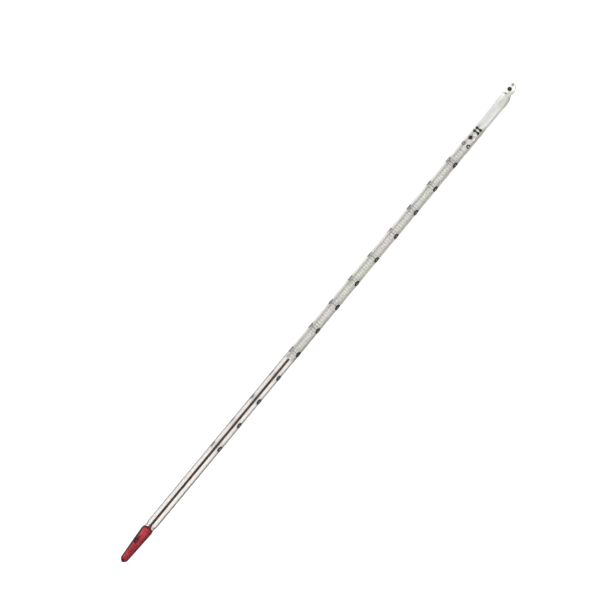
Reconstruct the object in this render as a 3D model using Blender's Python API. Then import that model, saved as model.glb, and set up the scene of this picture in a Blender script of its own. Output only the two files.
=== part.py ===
"""Solid-stem spirit thermometer, lying scale side up: glass stem, bulb, eye, enamel strip, spirit and ink.

X runs along the stem from the bulb to the eye, Z points up out of the scale, and the origin is under the
middle of the thermometer on the surface that it lies on. Metres.
"""

import math

import bmesh
import bpy
from mathutils import Vector

# The whole instrument. Distances named ..._AT are measured along the stem from the bulb's tip.
TOTAL_LENGTH = 0.300
STEM_RADIUS = 0.0029
STEM_SIDES = 20
STEM_SHOULDER_LENGTH = 0.0022
SHOULDER_STEPS = 3
FUSE_GAP = 0.0001

# Bulb: a thin blown reservoir that tapers towards its tip and sets a little to one side of the stem.
BULB_JOINT_AT = 0.0215
BULB_WIDEST_AT = 0.0188
BULB_WIDEST_RADIUS = 0.00284
BULB_NOSE_RADIUS = 0.0017
BULB_NOSE_LENGTH = 0.0014
BULB_WAIST_RADIUS = 0.00245
BULB_TAPER_POWER = 0.9
BULB_WALL = 0.00035
BULB_TIP_WALL = 0.0008
BULB_TIP_SET = -0.00020
BULB_SHOULDER_SET = 0.00024
BULB_NECK_RADIUS = 0.00052
BULB_NECK_AT = 0.0208
BULB_STEPS = 16
BULB_SHOULDER_STEPS = 5
NOSE_STEPS = 4

# Bore: a flat oval, so that the thread looks wide from the front, ending in a small expansion chamber.
BORE_HALF_WIDTH = 0.00038
BORE_HALF_DEPTH = 0.00024
BORE_SIDES = 12
CHAMBER_AT = 0.2664
CHAMBER_LENGTH = 0.0032
CHAMBER_SWELL = 0.0006
CHAMBER_STEPS = 4

# Spirit: the charge in the bulb, the thread and the moving head of the column.
SPIRIT_CLEARANCE = 0.00005
CHARGE_CLEARANCE = 0.00006
THREAD_FOOT_AT = 0.0210
HEAD_LENGTH = 0.006
MENISCUS_DEPTH = 0.00016
MENISCUS_STEP = 0.00008
MENISCUS_STEP_DEPTH = 0.00011

# White enamel strip drawn into the back of the stem.
STRIP_HALF_WIDTH = 0.00165
STRIP_THICKNESS = 0.00026
STRIP_BELOW_AXIS = 0.00145
STRIP_CLEARANCE = 0.00005

# Eye: the end of the stem drawn aside, pressed flat between jaws and pierced.
EYE_NECK_AT = 0.2896
EYE_CENTRE_AT = 0.2969
EYE_RADIUS = 0.0031
EYE_OFFSET = 0.0013
EYE_HALF_THICKNESS = 0.0017
EYE_HOLE_RADIUS = 0.0011
EYE_HOLE_SHIFT = 0.0005
EYE_ROOT_HALF_WIDTH = 0.0026
EYE_ROOT_HALF_DEPTH = 0.0014
EYE_NECK_STEPS = 4
EYE_SEGMENTS = 24

# Scale: one millimetre and a half to the degree.
ZERO_AT = 0.1020
DEGREE = 0.00149
SHOWN_TEMPERATURE = 17
LOWEST_LABEL = -20
HIGHEST_LABEL = 100
HIGHEST_TEMPERATURE = 105
LABEL_STEP = 10
LINE_WIDTH = 0.00022
TEN_LINE_HALF_ANGLE = math.radians(33)

# Ink: fired films that stand on the outside of the stem.
INK_LIFT = 0.000015
INK_THICKNESS = 0.00006
INK_STEP_ANGLE = math.radians(9)
DIGIT_HEIGHT = 0.0032
DIGIT_ANGLE = math.radians(51)
INNER_DIGIT_ANGLE = math.radians(50)
OUTER_DIGIT_ANGLE = math.radians(80)
MINUS_ANGLE = math.radians(80)
MINUS_HALF_ANGLE = math.radians(8)
UNIT_AT = 0.2620
UNIT_HEIGHT = 0.0024
DEGREE_SIGN_ANGLE = math.radians(38)
INDEX_BAR_AT = (0.2699, 0.2718)
INDEX_BAR_WIDTH = 0.0012
INDEX_BAR_ANGLE = math.radians(8)
INDEX_BAR_HALF_ANGLE = math.radians(34)
INDEX_DOT_AT = 0.2661
INDEX_DOT_ANGLE = math.radians(23)
INDEX_DOT_RADIUS = 0.0009
INDEX_DOT_SEGMENTS = 20

# Modelling tolerances.
CUT_OVERRUN = 0.001
GLYPH_WELD = 2e-6
GLYPH_CUT_WELD = 1e-5
SHARP_ANGLE = math.radians(35)

# Derived sizes. The flats of the stem are STEM_RADIUS from its axis, and its corners a little further.
STEM_CORNER_RADIUS = STEM_RADIUS / math.cos(math.pi / STEM_SIDES)
INK_RADIUS = STEM_CORNER_RADIUS + INK_LIFT
AXIS_Z = STEM_RADIUS
AXIS_Y = -(EYE_OFFSET + EYE_RADIUS - STEM_RADIUS) / 2
TIP_X = -TOTAL_LENGTH / 2
HEAD_TOP_AT = ZERO_AT + SHOWN_TEMPERATURE * DEGREE
HEAD_FOOT_AT = HEAD_TOP_AT - HEAD_LENGTH

GLASS = ("glass", (0.90, 0.94, 0.93), 0.05)
ENAMEL = ("white_enamel", (0.93, 0.93, 0.90), 0.35)
SPIRIT = ("red_spirit", (0.45, 0.02, 0.03), 0.15)
THREAD = ("dark_red_spirit", (0.10, 0.01, 0.01), 0.15)
INK = ("black_ink", (0.03, 0.03, 0.03), 0.50)


def remove_all_objects():
    for obj in list(bpy.data.objects):
        bpy.data.objects.remove(obj)


def material_of(kind):
    """The Principled material of a (name, colour, roughness) kind, made once."""
    name, colour, roughness = kind
    found = bpy.data.materials.get(name)
    if found:
        return found
    made = bpy.data.materials.new(name)
    made.use_nodes = True
    shader = made.node_tree.nodes["Principled BSDF"]
    shader.inputs["Base Color"].default_value = (*colour, 1.0)
    shader.inputs["Roughness"].default_value = roughness
    shader.inputs["Metallic"].default_value = 0.0
    return made


def add_object(name, bm, kind):
    """Links the bmesh as a smooth-shaded object of that material, with its faces pointing out."""
    bmesh.ops.recalc_face_normals(bm, faces=bm.faces)
    if bm.calc_volume(signed=True) < 0:
        bmesh.ops.reverse_faces(bm, faces=bm.faces)
    mesh = bpy.data.meshes.new(name)
    bm.to_mesh(mesh)
    bm.free()
    mesh.shade_smooth()
    mesh.set_sharp_from_angle(angle=SHARP_ANGLE)
    mesh.materials.append(material_of(kind))
    obj = bpy.data.objects.new(name, mesh)
    bpy.context.scene.collection.objects.link(obj)
    return obj


def add_cutter(name, bm):
    """A wire-drawn helper that a Boolean uses and that is not part of the model."""
    cutter = add_object(name, bm, GLASS)
    cutter.hide_render = True
    cutter.display_type = "WIRE"
    return cutter


def cut(obj, cutter, operation="DIFFERENCE"):
    modifier = obj.modifiers.new(cutter.name, "BOOLEAN")
    modifier.operation = operation
    modifier.solver = "EXACT"
    modifier.object = cutter


def smooth_step(t):
    t = min(1.0, max(0.0, t))
    return t * t * (3.0 - 2.0 * t)


def ease_out(t):
    """Rises quickly from 0 and levels off at 1, like a quarter of a wave."""
    return math.sin(math.pi / 2 * t)


def mix(a, b, t):
    return a + (b - a) * t


def ring(at, half_width, half_depth, sides, side_set=0.0, depth_set=0.0):
    """Points of an upright oval round the stem's axis, the corners so placed that one flat faces down."""
    points = []
    for index in range(sides):
        angle = math.tau * (index + 0.5) / sides
        across = half_width * math.sin(angle) + side_set
        up = half_depth * math.cos(angle) + depth_set
        points.append(Vector((TIP_X + at, AXIS_Y + across, AXIS_Z + up)))
    return points


def round_ring(at, flat_radius, side_set=0.0):
    """A ring of STEM_SIDES whose flats are flat_radius from the centre."""
    corner = flat_radius / math.cos(math.pi / STEM_SIDES)
    return ring(at, corner, corner, STEM_SIDES, side_set)


def skin(bm, first, second):
    """Joins two loops of as many vertices with a band of quads."""
    for index in range(len(first)):
        corners = (first[index - 1], first[index], second[index], second[index - 1])
        bm.faces.new(corners)


def add_rings(bm, rings):
    """Skins a run of rings and returns the rings' vertices."""
    made = [[bm.verts.new(point) for point in points] for points in rings]
    for first, second in zip(made, made[1:]):
        skin(bm, first, second)
    return made


def close_to_point(bm, loop, point):
    """Closes a loop with a fan of triangles to one point."""
    tip = bm.verts.new(point)
    for index in range(len(loop)):
        bm.faces.new((loop[index - 1], loop[index], tip))


def loft(rings):
    """A closed solid skinned over rings, with flat ends."""
    bm = bmesh.new()
    made = add_rings(bm, rings)
    bm.faces.new(made[0])
    bm.faces.new(made[-1])
    return bm


def bulb_radius(at):
    """Outer radius of the bulb: a round nose, a long taper and a shoulder down to the joint."""
    if at > BULB_WIDEST_AT:
        share = smooth_step((at - BULB_WIDEST_AT) / (BULB_JOINT_AT - BULB_WIDEST_AT))
        return mix(BULB_WIDEST_RADIUS, BULB_WAIST_RADIUS, share)
    side = mix(BULB_NOSE_RADIUS, BULB_WIDEST_RADIUS, (at / BULB_WIDEST_AT) ** BULB_TAPER_POWER)
    if at >= BULB_NOSE_LENGTH:
        return side
    return side * math.sqrt(1.0 - (1.0 - at / BULB_NOSE_LENGTH) ** 2)


def bulb_set(at):
    """How far the bulb's centre stands to the side of the stem's axis."""
    if at > BULB_WIDEST_AT:
        share = smooth_step((at - BULB_WIDEST_AT) / (BULB_NECK_AT - BULB_WIDEST_AT))
        return BULB_SHOULDER_SET * (1.0 - share)
    return mix(BULB_TIP_SET, BULB_SHOULDER_SET, at / BULB_WIDEST_AT)


def bulb_stations():
    """Where the bulb's rings stand: close together round the nose and over the shoulder."""
    nose = [
        BULB_NOSE_LENGTH * (1.0 - math.cos(math.pi / 2 * step / NOSE_STEPS))
        for step in range(1, NOSE_STEPS)
    ]
    body = [mix(BULB_NOSE_LENGTH, BULB_WIDEST_AT, step / BULB_STEPS) for step in range(BULB_STEPS)]
    shoulder = [
        mix(BULB_WIDEST_AT, BULB_JOINT_AT - FUSE_GAP, step / BULB_SHOULDER_STEPS)
        for step in range(BULB_SHOULDER_STEPS + 1)
    ]
    return nose + body + shoulder


def cavity_radius(at, clearance=0.0):
    """Radius of the bulb's hollow, less a clearance, down to the neck that the thread leaves by."""
    wide = bulb_radius(min(at, BULB_WIDEST_AT)) - BULB_WALL
    share = smooth_step((at - BULB_WIDEST_AT) / (BULB_NECK_AT - BULB_WIDEST_AT))
    return mix(wide, BULB_NECK_RADIUS, share) - clearance


def cavity_rings(end_at, clearance=0.0):
    """Rings of the bulb's hollow from just behind its tip to end_at."""
    start_at = BULB_TIP_WALL + BULB_NOSE_LENGTH / 2
    body = [mix(start_at, BULB_WIDEST_AT, step / BULB_STEPS) for step in range(BULB_STEPS)]
    shoulder = [
        mix(BULB_WIDEST_AT, end_at, step / BULB_SHOULDER_STEPS) for step in range(BULB_SHOULDER_STEPS + 1)
    ]
    return [round_ring(at, cavity_radius(at, clearance), bulb_set(at)) for at in body + shoulder]


def cavity_tip(clearance=0.0):
    at = BULB_TIP_WALL + clearance
    return Vector((TIP_X + at, AXIS_Y + bulb_set(at), AXIS_Z))


def make_bulb_glass():
    """Thin blown shell, open at the joint through its neck."""
    bm = bmesh.new()
    outer = add_rings(bm, [round_ring(at, bulb_radius(at), bulb_set(at)) for at in bulb_stations()])
    close_to_point(bm, outer[0], Vector((TIP_X, AXIS_Y + bulb_set(0.0), AXIS_Z)))
    inner_rings = cavity_rings(BULB_NECK_AT) + [round_ring(BULB_JOINT_AT - FUSE_GAP, BULB_NECK_RADIUS)]
    inner = add_rings(bm, inner_rings)
    close_to_point(bm, inner[0], cavity_tip())
    skin(bm, outer[-1], inner[-1])
    add_object("bulb_glass", bm, GLASS)


def make_spirit_charge():
    """The dyed spirit that fills the bulb."""
    bm = bmesh.new()
    made = add_rings(bm, cavity_rings(BULB_NECK_AT, CHARGE_CLEARANCE))
    close_to_point(bm, made[0], cavity_tip(2 * CHARGE_CLEARANCE))
    bm.faces.new(made[-1])
    add_object("spirit_charge", bm, SPIRIT)


def bore_ring(at, swell=0.0, clearance=0.0):
    half_width = BORE_HALF_WIDTH + swell - clearance
    half_depth = BORE_HALF_DEPTH + swell - clearance
    return ring(at, half_width, half_depth, BORE_SIDES)


def bore_cutter():
    """The capillary, open at the bulb and ending in the expansion chamber."""
    start = CHAMBER_AT - CHAMBER_LENGTH / 2
    rings = [bore_ring(BULB_JOINT_AT - CUT_OVERRUN)]
    for step in range(CHAMBER_STEPS + 1):
        along = step / CHAMBER_STEPS
        rings.append(bore_ring(start + along * CHAMBER_LENGTH, CHAMBER_SWELL * math.sin(math.pi * along)))
    return add_cutter("bore_cutter", loft(rings))


def strip_section(clearance):
    half_width = STRIP_HALF_WIDTH + clearance
    half_thickness = STRIP_THICKNESS / 2 + clearance
    return half_width, half_thickness


def strip_box(start_at, end_at, clearance=0.0):
    """A flat bar behind the bore, as a bmesh."""
    half_width, half_thickness = strip_section(clearance)
    bm = bmesh.new()
    bmesh.ops.create_cube(bm, size=1.0)
    middle = Vector((TIP_X + (start_at + end_at) / 2, AXIS_Y, AXIS_Z - STRIP_BELOW_AXIS))
    bmesh.ops.scale(bm, vec=(end_at - start_at, 2 * half_width, 2 * half_thickness), verts=bm.verts)
    bmesh.ops.translate(bm, vec=middle, verts=bm.verts)
    return bm


def make_glass_stem():
    """Solid glass rod with a blind bore and, behind it, a slot for the enamel strip."""
    rings = []
    for step in range(SHOULDER_STEPS + 1):
        along = step / SHOULDER_STEPS
        radius = mix(BULB_WAIST_RADIUS, STEM_RADIUS, ease_out(along))
        rings.append(round_ring(BULB_JOINT_AT + along * STEM_SHOULDER_LENGTH, radius))
    rings.append(round_ring(EYE_NECK_AT - FUSE_GAP, STEM_RADIUS))
    stem = add_object("glass_stem", loft(rings), GLASS)
    cut(stem, bore_cutter())
    slot = strip_box(BULB_JOINT_AT - CUT_OVERRUN, EYE_NECK_AT + CUT_OVERRUN, STRIP_CLEARANCE)
    cut(stem, add_cutter("strip_slot_cutter", slot))


def make_enamel_strip():
    """White enamel that backs the scale from end to end of the stem."""
    bm = strip_box(BULB_JOINT_AT + FUSE_GAP, EYE_NECK_AT - 2 * FUSE_GAP)
    add_object("enamel_strip", bm, ENAMEL)


def eye_neck():
    """The end of the stem drawn thinner, flatter and aside as far as the eye's centre."""
    rings = []
    for step in range(EYE_NECK_STEPS + 1):
        along = step / EYE_NECK_STEPS
        half_width = mix(STEM_CORNER_RADIUS, EYE_ROOT_HALF_WIDTH, along)
        half_depth = mix(STEM_CORNER_RADIUS, EYE_ROOT_HALF_DEPTH, ease_out(along))
        at = mix(EYE_NECK_AT, EYE_CENTRE_AT, along)
        rings.append(ring(at, half_width, half_depth, STEM_SIDES, EYE_OFFSET * smooth_step(along)))
    return loft(rings)


def pressed_bead(centre):
    """A round bead pressed flat between two jaws."""
    bead = bmesh.new()
    bmesh.ops.create_uvsphere(bead, u_segments=EYE_SEGMENTS, v_segments=EYE_SEGMENTS // 2, radius=EYE_RADIUS)
    bmesh.ops.translate(bead, vec=centre, verts=bead.verts)
    blank = add_cutter("bead_blank", bead)
    for name, side in (("lower_jaw", -1), ("upper_jaw", 1)):
        jaw = bmesh.new()
        bmesh.ops.create_cube(jaw, size=2 * EYE_RADIUS + 2 * CUT_OVERRUN)
        lift = Vector((0.0, 0.0, side * (EYE_HALF_THICKNESS + EYE_RADIUS + CUT_OVERRUN)))
        bmesh.ops.translate(jaw, vec=centre + lift, verts=jaw.verts)
        cut(blank, add_cutter(name, jaw))
    return blank


def make_hanging_eye():
    """The pressed bead on its tapering neck, pierced through for a string."""
    centre = Vector((TIP_X + EYE_CENTRE_AT, AXIS_Y + EYE_OFFSET, AXIS_Z))
    eye = add_object("hanging_eye", eye_neck(), GLASS)
    cut(eye, pressed_bead(centre), "UNION")

    pin = bmesh.new()
    bmesh.ops.create_cone(
        pin,
        cap_ends=True,
        segments=EYE_SEGMENTS,
        radius1=EYE_HOLE_RADIUS,
        radius2=EYE_HOLE_RADIUS,
        depth=4 * EYE_RADIUS,
    )
    bmesh.ops.translate(pin, vec=centre - Vector((EYE_HOLE_SHIFT, 0.0, 0.0)), verts=pin.verts)
    cut(eye, add_cutter("piercing_pin", pin))


def make_spirit_column():
    """The thread as far as the column's head, and the head with its hollow meniscus."""
    foot = bore_ring(THREAD_FOOT_AT, clearance=SPIRIT_CLEARANCE)
    top = bore_ring(HEAD_FOOT_AT - FUSE_GAP, clearance=SPIRIT_CLEARANCE)
    add_object("spirit_thread", loft([foot, top]), THREAD)

    bm = bmesh.new()
    rings = [
        bore_ring(HEAD_FOOT_AT, clearance=SPIRIT_CLEARANCE),
        bore_ring(HEAD_TOP_AT, clearance=SPIRIT_CLEARANCE),
        bore_ring(HEAD_TOP_AT - MENISCUS_STEP_DEPTH, clearance=SPIRIT_CLEARANCE + MENISCUS_STEP),
    ]
    made = add_rings(bm, rings)
    bm.faces.new(made[0])
    close_to_point(bm, made[-1], Vector((TIP_X + HEAD_TOP_AT - MENISCUS_DEPTH, AXIS_Y, AXIS_Z)))
    add_object("column_head", bm, THREAD)


def on_stem(at, angle, radius):
    """A point on a cylinder round the stem, its angle counted from the scale towards -Y."""
    across = -radius * math.sin(angle)
    return Vector((TIP_X + at, AXIS_Y + across, AXIS_Z + radius * math.cos(angle)))


def make_band(name, at, width, middle_angle, half_angle):
    """A straight ink bar that wraps part of the way round the stem."""
    inner, outer = INK_RADIUS, INK_RADIUS + INK_THICKNESS
    low, high = at - width / 2, at + width / 2
    steps = max(2, math.ceil(2 * half_angle / INK_STEP_ANGLE))
    sections = []
    for step in range(steps + 1):
        angle = mix(middle_angle - half_angle, middle_angle + half_angle, step / steps)
        corners = ((low, inner), (high, inner), (high, outer), (low, outer))
        sections.append([on_stem(along, angle, radius) for along, radius in corners])
    add_object(name, loft(sections), INK)


def flat_glyph(letter, height):
    """The letter as a flat solid of unit thickness about its own middle, x across and y up."""
    curve = bpy.data.curves.new("glyph", "FONT")
    curve.body = letter
    curve.resolution_u = 2
    curve.extrude = 0.5
    holder = bpy.data.objects.new("glyph", curve)
    bpy.context.scene.collection.objects.link(holder)
    bpy.context.view_layer.update()
    mesh = bpy.data.meshes.new_from_object(holder)
    bpy.data.objects.remove(holder)
    bm = bmesh.new()
    bm.from_mesh(mesh)
    bpy.data.meshes.remove(mesh)
    lowest, highest = (Vector(map(pick, zip(*(vert.co for vert in bm.verts)))) for pick in (min, max))
    middle = (lowest + highest) / 2
    scale = height / (highest.y - lowest.y)
    for vert in bm.verts:
        vert.co.x = (vert.co.x - middle.x) * scale
        vert.co.y = (vert.co.y - middle.y) * scale
    bmesh.ops.remove_doubles(bm, verts=bm.verts, dist=GLYPH_WELD)
    return bm


def print_on_stem(name, bm, at, middle_angle):
    """Wraps a flat solid of unit thickness on the stem as ink, upright when the bulb hangs down."""
    step = INK_RADIUS * INK_STEP_ANGLE
    cuts_each_side = int(max(abs(vert.co.x) for vert in bm.verts) / step)
    for index in range(-cuts_each_side, cuts_each_side + 1):
        bmesh.ops.bisect_plane(
            bm,
            geom=bm.verts[:] + bm.edges[:] + bm.faces[:],
            dist=GLYPH_CUT_WELD,
            plane_co=(index * step, 0.0, 0.0),
            plane_no=(1.0, 0.0, 0.0),
        )
    bmesh.ops.triangulate(bm, faces=bm.faces)
    for vert in bm.verts:
        radius = INK_RADIUS + (INK_THICKNESS if vert.co.z > 0 else 0.0)
        vert.co = on_stem(at + vert.co.y, middle_angle + vert.co.x / INK_RADIUS, radius)
    add_object(name, bm, INK)


def make_glyph(name, letter, at, middle_angle, height=DIGIT_HEIGHT):
    print_on_stem(name, flat_glyph(letter, height), at, middle_angle)


def make_dot(name, at, middle_angle, radius):
    """A round spot of ink."""
    bm = bmesh.new()
    bmesh.ops.create_cone(
        bm,
        cap_ends=True,
        segments=INDEX_DOT_SEGMENTS,
        radius1=radius,
        radius2=radius,
        depth=1.0,
    )
    print_on_stem(name, bm, at, middle_angle)


def make_label(degrees):
    """The numerals of one label, the last digit on one side of the scale and the rest on the other."""
    at = ZERO_AT + degrees * DEGREE
    name = f"label_minus_{-degrees}" if degrees < 0 else f"label_{degrees}"
    if degrees < 0:
        make_band(f"{name}_sign", at, 2 * LINE_WIDTH, -MINUS_ANGLE, MINUS_HALF_ANGLE)
    digits = f"{abs(degrees):02d}"
    angles = {2: (-DIGIT_ANGLE, DIGIT_ANGLE), 3: (-OUTER_DIGIT_ANGLE, -INNER_DIGIT_ANGLE, DIGIT_ANGLE)}
    for place, (digit, angle) in enumerate(zip(digits, angles[len(digits)]), start=1):
        make_glyph(f"{name}_digit_{place}", digit, at, angle)


def make_scale():
    for degrees in range(LOWEST_LABEL, HIGHEST_LABEL + 1, LABEL_STEP):
        name = f"line_minus_{-degrees}" if degrees < 0 else f"line_{degrees}"
        make_band(name, ZERO_AT + degrees * DEGREE, LINE_WIDTH, 0.0, TEN_LINE_HALF_ANGLE)
        make_label(degrees)
    top_at = ZERO_AT + HIGHEST_TEMPERATURE * DEGREE
    make_band("line_105_scale_end", top_at, LINE_WIDTH, 0.0, TEN_LINE_HALF_ANGLE)


def make_unit_and_index_marks():
    make_glyph("unit_degree_sign", "o", UNIT_AT + UNIT_HEIGHT / 3, -DEGREE_SIGN_ANGLE, UNIT_HEIGHT / 2)
    make_glyph("unit_letter_c", "C", UNIT_AT, DEGREE_SIGN_ANGLE, UNIT_HEIGHT)
    make_dot("index_dot", INDEX_DOT_AT, -INDEX_DOT_ANGLE, INDEX_DOT_RADIUS)
    for name, at in zip(("index_bar_lower", "index_bar_upper"), INDEX_BAR_AT):
        make_band(name, at, INDEX_BAR_WIDTH, -INDEX_BAR_ANGLE, INDEX_BAR_HALF_ANGLE)


def main():
    remove_all_objects()
    make_bulb_glass()
    make_spirit_charge()
    make_glass_stem()
    make_enamel_strip()
    make_spirit_column()
    make_hanging_eye()
    make_scale()
    make_unit_and_index_marks()


main()
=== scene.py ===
"""Looks of the solid-stem spirit thermometer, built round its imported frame.

The glass is one body, drawn and blown, from the bulb's tip to the pierced eye, with the capillary inside it.
"""

import math

import bmesh
import bpy
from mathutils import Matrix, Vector


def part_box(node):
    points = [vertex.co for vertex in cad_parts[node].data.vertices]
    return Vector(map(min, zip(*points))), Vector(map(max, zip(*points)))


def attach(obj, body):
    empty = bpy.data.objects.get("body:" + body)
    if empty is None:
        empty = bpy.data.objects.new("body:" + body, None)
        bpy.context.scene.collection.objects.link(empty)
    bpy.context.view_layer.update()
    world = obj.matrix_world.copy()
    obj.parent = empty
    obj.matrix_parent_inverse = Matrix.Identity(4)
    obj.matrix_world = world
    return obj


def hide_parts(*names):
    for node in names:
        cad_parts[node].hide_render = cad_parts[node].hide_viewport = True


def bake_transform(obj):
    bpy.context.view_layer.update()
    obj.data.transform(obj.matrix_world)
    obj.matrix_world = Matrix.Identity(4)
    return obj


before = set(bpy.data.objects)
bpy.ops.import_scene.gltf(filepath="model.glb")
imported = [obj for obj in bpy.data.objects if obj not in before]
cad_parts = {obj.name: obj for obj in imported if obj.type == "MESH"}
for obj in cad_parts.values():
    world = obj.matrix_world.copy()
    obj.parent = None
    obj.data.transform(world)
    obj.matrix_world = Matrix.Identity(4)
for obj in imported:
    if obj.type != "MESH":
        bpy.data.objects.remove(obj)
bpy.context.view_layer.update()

# The camera looks straight down on the scale, rolled so that the stem runs up to the right.
VIEW_WIDTH = 0.2912
VIEW_CENTRE = (0.00275, 0.01348)
VIEW_ROLL = math.radians(-50.34)
LENS = 200
SENSOR = 36
CLIP_DISTANCES = (0.01, 20.0)

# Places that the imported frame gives.
STEM_LOW, STEM_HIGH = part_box("glass_stem")
BULB_LOW, BULB_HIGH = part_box("bulb_glass")
EYE_LOW, EYE_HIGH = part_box("hanging_eye")
HEAD_LOW, HEAD_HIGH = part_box("column_head")
STRIP_LOW, STRIP_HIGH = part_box("enamel_strip")
BARS_HIGH_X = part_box("index_bar_upper")[1].x
STEM_RADIUS = (STEM_HIGH.z - STEM_LOW.z) / 2
AXIS_Y = (STEM_HIGH.y + STEM_LOW.y) / 2
AXIS_Z = (STEM_HIGH.z + STEM_LOW.z) / 2
TIP_X = BULB_LOW.x

# Bulb: distances named ..._AT are measured from the tip of the CAD bulb. The nose reaches a little past it.
BULB_WIDEST_AT = 0.0190
BULB_WIDEST_RADIUS = 0.00286
BULB_NOSE_RADIUS = 0.00175
BULB_NOSE_REACH = 0.0004
BULB_NOSE_LENGTH = 0.0020
BULB_NOSE_POWERS = (1.6, 0.8)
BULB_FLATNESS = 1.045
BULB_TAPER_POWER = 0.9
BULB_WAIST_AT = BULB_HIGH.x - TIP_X
BULB_WAIST_RADIUS = 0.00250
STEM_SHOULDER_LENGTH = 0.0022
STEM_FULL_AT = BULB_WAIST_AT + STEM_SHOULDER_LENGTH
BULB_TIP_SET = -0.00032
BULB_SHOULDER_SET = 0.00013

# The hollow in the glass: the bulb's, the bore and the expansion chamber.
BULB_WALL = 0.00032
BULB_TIP_WALL = 0.0011
CAVITY_END_LENGTH = 0.0016
CAVITY_FIRST_RING_SHARE = 0.12
CAVITY_SHOULDER_AT = 0.0187
CAVITY_NECK_AT = 0.0220
CAVITY_NECK_RADIUS = 0.00048
BORE_FOOT_AT = 0.0228
BORE_HALF_WIDTH = 0.00040
BORE_HALF_DEPTH = 0.00020
BORE_Y = AXIS_Y + 0.0001
CHAMBER_AT = 0.2664
CHAMBER_LENGTH = 0.0032
CHAMBER_SWELL = 0.0006
CHAMBER_SWELL_POWER = 1.5
CHAMBER_END_FROM = 0.75

# Eye: its centre is one radius back from the top and from the side that it stands out to.
EYE_RADIUS = 0.0031
EYE_CENTRE = Vector((EYE_HIGH.x - EYE_RADIUS, EYE_HIGH.y - EYE_RADIUS, AXIS_Z))
EYE_HALF_DEPTH = 0.0017
EYE_FLAT_BY = 0.75
EYE_END_ROUNDING = 0.0019
EYE_ROOT_HALF_WIDTH = 0.0026
EYE_ROOT_END_SHARE = 0.5
EYE_FILLET = 0.00025
ELLIPSE = 2.0
EYE_SQUARENESS = 2.5
EYE_HOLE_SHIFT = 0.0005
EYE_HOLE_RADIUS = 0.00008
EYE_MOUTH_ROUNDING = 0.00165
# Within this radius of the hole's centre, the wall takes a dark colour.
HOLE_LINING_RADIUS = 0.0011
PIERCING_OVERRUN = 3 * EYE_MOUTH_ROUNDING
HOLE_CENTRE = EYE_CENTRE - Vector((EYE_HOLE_SHIFT, 0.0, 0.0))
# Spots of painted shade on the glass, one each way of the eye's hole.
EYE_SHADE_SPOTS = (
    (HOLE_CENTRE.x - 0.0029, HOLE_CENTRE.y),
    (HOLE_CENTRE.x + 0.0024, HOLE_CENTRE.y + 0.0001),
)
EYE_SHADE_SPOT_REACH = 0.0009
SPOT_CORE_SHARE = 0.2

# Enamel strip: cupped towards the bore, tapering to a rounded end.
STRIP_TAPER = 0.006
STRIP_END_SHARE = 0.06
STRIP_CUP_SHARE = 0.25
STRIP_RIM_HALF_THICKNESS = 0.00001

# Spirit: it wets the glass, so it is drawn a hair larger than the hollow that holds it.
WETTING = 0.000015
THREAD_ROOT = 0.0001
THREAD_ROOT_WETTING = 0.9 * WETTING
MENISCUS_DEPTH = 0.00016

# Scale.
DEGREES_BETWEEN_LABELS = 10
DEGREES_BETWEEN_LONG_LINES = 5
PRINT_LIFT = 0.000004
PRINT_THICKNESS = 0.000018
PRINT_STEP = math.radians(3)
PRINT_WELD = 1e-6
PRINT_SLIVER = 2e-7
FEWEST_BAND_STEPS = 4
FONT_RESOLUTION = 8
FINE_LINE_WIDTH = 0.00015
WASHED_LINE_WIDTH = 0.00010
BAR_WIDTH = 0.00125
SCALE_TURN = math.radians(-6)
UNIT_LETTER_TURN = math.radians(-18)
UNIT_LETTER_SHARE = 0.85
DEGREE_SIGN_SWELL = 1.9
DEGREE_SIGN_DROP = 0.0009
BAR_TURN = math.radians(-2)
BAR_HALF_ANGLE = math.radians(36)
BAR_WAIST_SHARE = 0.60
BAR_END_SHARE = 1.25
BAR_END_ANGLE = math.radians(23)
TEN_LINE_HALF_ANGLE = math.radians(28)
FINE_LINE_HALF_ANGLE = math.radians(23)
FIVE_LINE_HALF_ANGLE = math.radians(27)
INDEX_DOT_TURN = math.radians(5)
INDEX_DOT_SWELL = 1.2
# Strokes swell by these, in the font's own units. Much more and the outlines of some figures would cross.
STROKE_SWELL = 0.075
UNIT_STROKE_SWELL = 0.09

# How finely the meshes are drawn: rings along a stretch, and points round a ring.
SHARP_ANGLE = math.radians(40)
GLASS_SIDES = 96
NOSE_RINGS = 12
BULB_RINGS = 24
SHOULDER_RINGS = 28
STEM_RINGS = 60
EYE_RINGS = 72
PIERCING_SIDES = 64
PIERCING_HALF_RINGS = 24
BORE_SIDES = 32
CAVITY_RINGS = 30
CAVITY_NECK_RINGS = 24
BORE_RINGS = 80
CHAMBER_RINGS = 24
STRIP_RINGS = 40
STRIP_TAPER_RINGS = 20
STRIP_HALF_STEPS = 24
THREAD_RINGS = 120
HEAD_RINGS = 8
MENISCUS_RINGS = 6
DOT_SIDES = 48

# Materials. A colour is linear. A ..._FADE or other span along the stem is in X, one across it is in Y, and a
# ..._FACING span is in how far the glass turns from the eye, from 0 face on to 1 at its outline.
PLAIN_SPECULAR = 0.5
NOISE_ROUGHNESS = 0.55
STREAK_SPAN = (0.3, 0.7)
STRIP_END_FADE = (STRIP_HIGH.x - STRIP_TAPER, STRIP_HIGH.x - 0.4 * STRIP_TAPER)

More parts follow.
